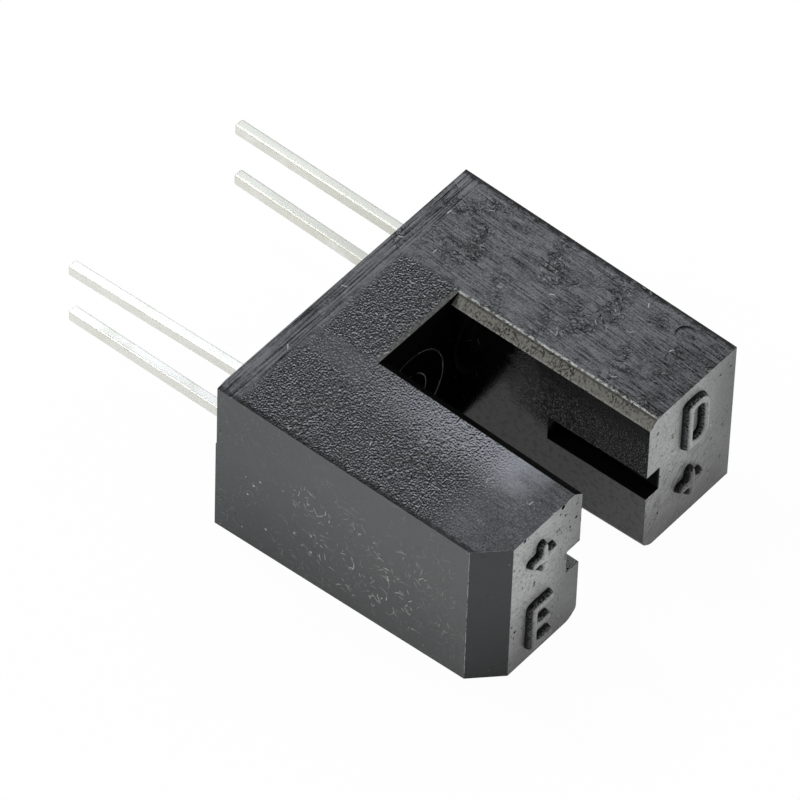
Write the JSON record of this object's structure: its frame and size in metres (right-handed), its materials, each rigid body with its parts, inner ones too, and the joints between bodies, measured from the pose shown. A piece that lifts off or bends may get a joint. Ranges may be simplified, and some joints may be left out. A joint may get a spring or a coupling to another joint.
{
  "type": "slotted optical switch",
  "caption": "Slotted optical switch: a black U-shaped moulded housing holds an emitter and a detector that face each other across a sensing slot, with straight solder leads out of its base.",
  "frame": {"origin": "centre of the housing's seating face, where the leads come out", "axes": "+X from the emitter arm to the detector arm, +Y along the leads away from the housing, +Z out of the broad face that faces up as the part lies"},
  "size_m": [0.012, 0.0186, 0.0064],
  "materials": {
    "black_plastic": "satin, fine spark-eroded grain on the broad faces",
    "tinned_metal": "bright tin plate",
    "clear_epoxy": "clear and glossy",
    "dark_epoxy": "dark and glossy",
    "chip": "polished",
    "gold_wire": "bright gold"
  },
  "bodies": {
    "root": {"housing": "black_plastic", "emitter_package": "clear_epoxy", "emitter_cathode_lead": "tinned_metal", "emitter_anode_lead": "tinned_metal", "emitter_chip": "chip", "emitter_bond_wire": "gold_wire", "detector_package": "dark_epoxy", "detector_collector_lead": "tinned_metal", "detector_emitter_lead": "tinned_metal", "detector_chip": "chip", "detector_bond_wire": "gold_wire"}
  },
  "joints": []
}
